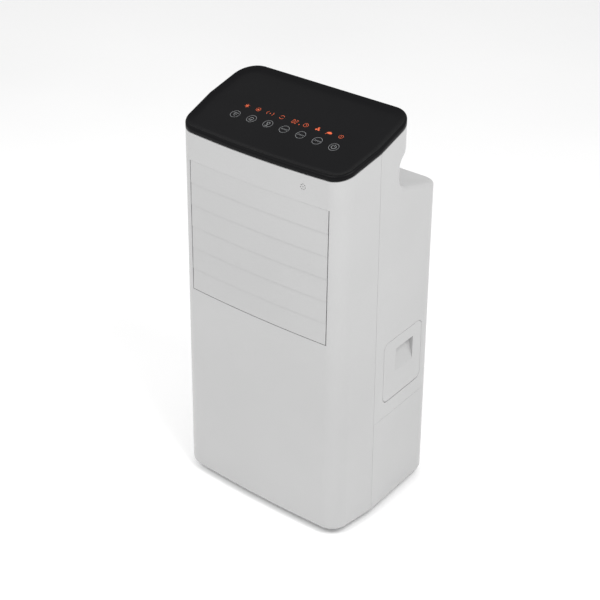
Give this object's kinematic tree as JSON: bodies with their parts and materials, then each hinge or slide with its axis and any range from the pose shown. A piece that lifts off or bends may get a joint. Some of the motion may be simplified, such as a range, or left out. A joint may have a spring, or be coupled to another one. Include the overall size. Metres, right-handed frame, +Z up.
{
  "type": "evaporative air cooler",
  "caption": "Free-standing portable air cooler with a black touch lid, a slatted front outlet, a tilting filler door, a pull-out rear tank and small casters.",
  "frame": {"origin": "centre of the casing's footprint, on the floor plane under the wheels", "axes": "+Z up; -Y is the front with the slatted outlet; +X is the right side seen from the front, where the filler door is"},
  "size_m": [0.2968, 0.2259, 0.5999],
  "materials": {
    "casing_white": "fine satin",
    "louvre_white": "fine satin",
    "lid_black": "satin black",
    "inner_grey": "moulded",
    "mech_black": "moulded",
    "grille_white": "moulded",
    "filter_mesh": "fine mesh",
    "pad_paper": "corrugated paper",
    "motor_steel": "zinc plated",
    "shaft_steel": "ground",
    "brass_bush": "sintered",
    "rubber_black": "matte",
    "pipe_clear": "milky",
    "circuit_green": "solder mask",
    "key_springs": "conductive foam",
    "display_amber": "light guide"
  },
  "bodies": {
    "casing": {"front_shell": "casing_white", "rear_shell": "casing_white", "base_pan": "inner_grey", "filler_hopper": "inner_grey", "cooling_pad": "pad_paper", "pad_frame": "inner_grey", "rear_screws": "shaft_steel", "water_trough": "inner_grey", "cable_gland": "mech_black", "fan_housing": "inner_grey", "fan_bearing": "brass_bush", "fan_motor": "motor_steel", "louvre_motor": "motor_steel", "outlet_frame": "inner_grey", "swing_motor": "motor_steel", "touch_lid": "lid_black", "touch_board": "circuit_green", "touch_key_pads": "key_springs", "led_display": "display_amber", "ir_receiver": "mech_black", "power_box": "inner_grey", "power_board": "circuit_green", "feed_pipe": "pipe_clear"},
    "slat_1": {"louvre_slat_1": "louvre_white"},
    "slat_2": {"louvre_slat_2": "louvre_white"},
    "slat_3": {"louvre_slat_3": "louvre_white"},
    "slat_4": {"louvre_slat_4": "louvre_white"},
    "slat_5": {"louvre_slat_5": "louvre_white"},
    "slat_6": {"louvre_slat_6": "louvre_white"},
    "louvre_crank_body": {"louvre_crank": "mech_black"},
    "louvre_link_body": {"louvre_link": "mech_black"},
    "vane_1": {"swing_vane_1": "mech_black"},
    "vane_2": {"swing_vane_2": "mech_black"},
    "vane_3": {"swing_vane_3": "mech_black"},
    "vane_4": {"swing_vane_4": "mech_black"},
    "vane_5": {"swing_vane_5": "mech_black"},
    "vane_6": {"swing_vane_6": "mech_black"},
    "vane_link_body": {"vane_link": "mech_black"},
    "fan": {"fan_wheel": "mech_black", "fan_shaft": "shaft_steel"},
    "tank": {"water_tank": "casing_white", "water_pump": "mech_black", "riser_pipe": "pipe_clear"},
    "impeller": {"pump_impeller": "mech_black"},
    "plug": {"drain_plug": "rubber_black"},
    "door": {"filler_door": "casing_white"},
    "rear_intake": {"intake_grille": "grille_white", "dust_filter": "filter_mesh"},
    "swivel_front_left": {"caster_front_left_fork": "inner_grey", "caster_front_left_axle": "shaft_steel"},
    "wheel_front_left": {"caster_front_left_wheel": "rubber_black"},
    "swivel_front_right": {"caster_front_right_fork": "inner_grey", "caster_front_right_axle": "shaft_steel"},
    "wheel_front_right": {"caster_front_right_wheel": "rubber_black"},
    "swivel_rear_left": {"caster_rear_left_fork": "inner_grey", "caster_rear_left_axle": "shaft_steel"},
    "wheel_rear_left": {"caster_rear_left_wheel": "rubber_black"},
    "swivel_rear_right": {"caster_rear_right_fork": "inner_grey", "caster_rear_right_axle": "shaft_steel"},
    "wheel_rear_right": {"caster_rear_right_wheel": "rubber_black"}
  },
  "joints": [
    {"name": "slat_1_turn", "type": "hinge", "parent": "casing", "child": "slat_1", "pos_m": [0, -0.10012, 0.33021], "axis": [1, 0, 0], "range_deg": [0, 60]},
    {"name": "slat_2_turn", "type": "hinge", "parent": "casing", "child": "slat_2", "pos_m": [0, -0.09972, 0.36269], "axis": [1, 0, 0], "range_deg": [0, 60]},
    {"name": "slat_3_turn", "type": "hinge", "parent": "casing", "child": "slat_3", "pos_m": [0, -0.09933, 0.39517], "axis": [1, 0, 0], "range_deg": [0, 60]},
    {"name": "slat_4_turn", "type": "hinge", "parent": "casing", "child": "slat_4", "pos_m": [0, -0.09894, 0.42765], "axis": [1, 0, 0], "range_deg": [0, 60]},
    {"name": "slat_5_turn", "type": "hinge", "parent": "casing", "child": "slat_5", "pos_m": [0, -0.09854, 0.46013], "axis": [1, 0, 0], "range_deg": [0, 60]},
    {"name": "slat_6_turn", "type": "hinge", "parent": "casing", "child": "slat_6", "pos_m": [0, -0.09815, 0.49261], "axis": [1, 0, 0], "range_deg": [0, 60]},
    {"name": "louvre_crank_turn", "type": "hinge", "parent": "casing", "child": "louvre_crank_body", "pos_m": [-0.126, -0.07533, 0.39488], "axis": [1, 0, 0], "range_deg": [0, 60]},
    {"name": "louvre_link_turn", "type": "hinge", "parent": "slat_1", "child": "louvre_link_body", "pos_m": [-0.1239, -0.09112, 0.3301], "axis": [1, 0, 0], "range_deg": [-60, 0]},
    {"name": "vane_1_turn", "type": "hinge", "parent": "casing", "child": "vane_1", "pos_m": [-0.095, -0.07415, 0.40956], "axis": [0, 0.0121, 0.9999], "range_deg": [-35, 35]},
    {"name": "vane_2_turn", "type": "hinge", "parent": "casing", "child": "vane_2", "pos_m": [-0.057, -0.07415, 0.40956], "axis": [0, 0.0121, 0.9999], "range_deg": [-35, 35]},
    {"name": "vane_3_turn", "type": "hinge", "parent": "casing", "child": "vane_3", "pos_m": [-0.019, -0.07415, 0.40956], "axis": [0, 0.0121, 0.9999], "range_deg": [-35, 35]},
    {"name": "vane_4_turn", "type": "hinge", "parent": "casing", "child": "vane_4", "pos_m": [0.019, -0.07415, 0.40956], "axis": [0, 0.0121, 0.9999], "range_deg": [-35, 35]},
    {"name": "vane_5_turn", "type": "hinge", "parent": "casing", "child": "vane_5", "pos_m": [0.057, -0.07415, 0.40956], "axis": [0, 0.0121, 0.9999], "range_deg": [-35, 35]},
    {"name": "vane_6_turn", "type": "hinge", "parent": "casing", "child": "vane_6", "pos_m": [0.095, -0.07415, 0.40956], "axis": [0, 0.0121, 0.9999], "range_deg": [-35, 35]},
    {"name": "vane_link_turn", "type": "hinge", "parent": "vane_1", "child": "vane_link_body", "pos_m": [-0.095, -0.05933, 0.31237], "axis": [0, 0.0121, 0.9999], "range_deg": [-35, 35]},
    {"name": "fan_spin", "type": "hinge", "parent": "casing", "child": "fan", "pos_m": [0, -0.003, 0.402], "axis": [1, 0, 0], "continuous": true},
    {"name": "tank_slide", "type": "slide", "parent": "casing", "child": "tank", "axis": [0, 1, 0], "range_m": [0, 0.16]},
    {"name": "impeller_spin", "type": "hinge", "parent": "tank", "child": "impeller", "pos_m": [-0.118, 0.038, 0.056], "axis": [0, 0, 1], "continuous": true},
    {"name": "plug_pull", "type": "slide", "parent": "tank", "child": "plug", "axis": [0, 1, 0], "range_m": [0, 0.012]},
    {"name": "door_tilt", "type": "hinge", "parent": "casing", "child": "door", "pos_m": [0.14268, 0.0343, 0.1853], "axis": [-0.0471, 0.9989, 0], "range_deg": [0, 40]},
    {"name": "intake_pull", "type": "slide", "parent": "casing", "child": "rear_intake", "axis": [0, 1, 0], "range_m": [0, 0.06]},
    {"name": "swivel_front_left_turn", "type": "hinge", "parent": "casing", "child": "swivel_front_left", "pos_m": [-0.11, -0.076, 0.033], "axis": [0, 0, 1], "continuous": true},
    {"name": "wheel_front_left_roll", "type": "hinge", "parent": "swivel_front_left", "child": "wheel_front_left", "pos_m": [-0.10434, -0.07034, 0.014], "axis": [0.7071, -0.7071, 0], "continuous": true},
    {"name": "swivel_front_right_turn", "type": "hinge", "parent": "casing", "child": "swivel_front_right", "pos_m": [0.11, -0.076, 0.033], "axis": [0, 0, 1], "continuous": true},
    {"name": "wheel_front_right_roll", "type": "hinge", "parent": "swivel_front_right", "child": "wheel_front_right", "pos_m": [0.10434, -0.07034, 0.014], "axis": [0.7071, 0.7071, 0], "continuous": true},
    {"name": "swivel_rear_left_turn", "type": "hinge", "parent": "casing", "child": "swivel_rear_left", "pos_m": [-0.11, 0.058, 0.033], "axis": [0, 0, 1], "continuous": true},
    {"name": "wheel_rear_left_roll", "type": "hinge", "parent": "swivel_rear_left", "child": "wheel_rear_left", "pos_m": [-0.10434, 0.05234, 0.014], "axis": [-0.7071, -0.7071, 0], "continuous": true},
    {"name": "swivel_rear_right_turn", "type": "hinge", "parent": "casing", "child": "swivel_rear_right", "pos_m": [0.11, 0.058, 0.033], "axis": [0, 0, 1], "continuous": true},
    {"name": "wheel_rear_right_roll", "type": "hinge", "parent": "swivel_rear_right", "child": "wheel_rear_right", "pos_m": [0.10434, 0.05234, 0.014], "axis": [-0.7071, 0.7071, 0], "continuous": true}
  ],
  "couplings": [
    {"joint": "slat_2_turn", "follows": "slat_1_turn", "ratio": 1},
    {"joint": "slat_3_turn", "follows": "slat_1_turn", "ratio": 1},
    {"joint": "slat_4_turn", "follows": "slat_1_turn", "ratio": 1},
    {"joint": "slat_5_turn", "follows": "slat_1_turn", "ratio": 1},
    {"joint": "slat_6_turn", "follows": "slat_1_turn", "ratio": 1},
    {"joint": "louvre_crank_turn", "follows": "slat_1_turn", "ratio": 1},
    {"joint": "louvre_link_turn", "follows": "slat_1_turn", "ratio": -1},
    {"joint": "vane_2_turn", "follows": "vane_1_turn", "ratio": 1},
    {"joint": "vane_3_turn", "follows": "vane_1_turn", "ratio": 1},
    {"joint": "vane_4_turn", "follows": "vane_1_turn", "ratio": 1},
    {"joint": "vane_5_turn", "follows": "vane_1_turn", "ratio": 1},
    {"joint": "vane_6_turn", "follows": "vane_1_turn", "ratio": 1},
    {"joint": "vane_link_turn", "follows": "vane_1_turn", "ratio": -1}
  ]
}
